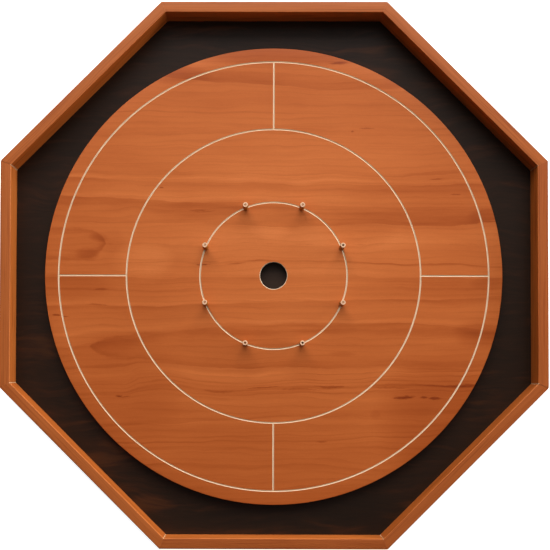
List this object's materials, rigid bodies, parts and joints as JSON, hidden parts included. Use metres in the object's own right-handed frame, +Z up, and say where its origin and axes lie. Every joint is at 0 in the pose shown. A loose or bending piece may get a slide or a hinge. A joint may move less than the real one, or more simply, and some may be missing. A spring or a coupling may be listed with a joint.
{
  "type": "crokinole board",
  "caption": "Octagonal wooden game board: a round raised playing field with a centre hole, sleeved posts and scoring grooves, walled by mitred rails round a dark ditch.",
  "frame": {"origin": "on the table, under the middle of the centre hole, at the level of the feet's soles", "axes": "+Z up out of the playing field, +Y towards the north rail, +X towards the east rail"},
  "size_m": [0.7458, 0.7458, 0.0521],
  "materials": {
    "field_wood": "satin",
    "rail_wood": "satin",
    "base_wood": "satin",
    "spline_wood": "matte",
    "latex": "satin",
    "pin_steel": "satin",
    "screw_steel": "satin",
    "foot_rubber": "matte"
  },
  "bodies": {
    "root": {"base_panel": "base_wood", "playing_field": "field_wood", "rail_east": "rail_wood", "rail_north_east": "rail_wood", "rail_north": "rail_wood", "rail_north_west": "rail_wood", "rail_west": "rail_wood", "rail_south_west": "rail_wood", "rail_south": "rail_wood", "rail_south_east": "rail_wood", "mitre_spline_1": "spline_wood", "mitre_spline_2": "spline_wood", "mitre_spline_3": "spline_wood", "mitre_spline_4": "spline_wood", "mitre_spline_5": "spline_wood", "mitre_spline_6": "spline_wood", "mitre_spline_7": "spline_wood", "mitre_spline_8": "spline_wood", "post_sleeve_1": "latex", "post_sleeve_2": "latex", "post_sleeve_3": "latex", "post_sleeve_4": "latex", "post_sleeve_5": "latex", "post_sleeve_6": "latex", "post_sleeve_7": "latex", "post_sleeve_8": "latex", "post_pin_1": "pin_steel", "post_pin_2": "pin_steel", "post_pin_3": "pin_steel", "post_pin_4": "pin_steel", "post_pin_5": "pin_steel", "post_pin_6": "pin_steel", "post_pin_7": "pin_steel", "post_pin_8": "pin_steel", "field_screw_1": "screw_steel", "field_screw_2": "screw_steel", "field_screw_3": "screw_steel", "field_screw_4": "screw_steel", "field_screw_5": "screw_steel", "field_screw_6": "screw_steel", "field_screw_7": "screw_steel", "field_screw_8": "screw_steel", "foot_1": "foot_rubber", "foot_2": "foot_rubber", "foot_3": "foot_rubber", "foot_4": "foot_rubber", "foot_screw_1": "screw_steel", "foot_screw_2": "screw_steel", "foot_screw_3": "screw_steel", "foot_screw_4": "screw_steel"}
  },
  "joints": []
}
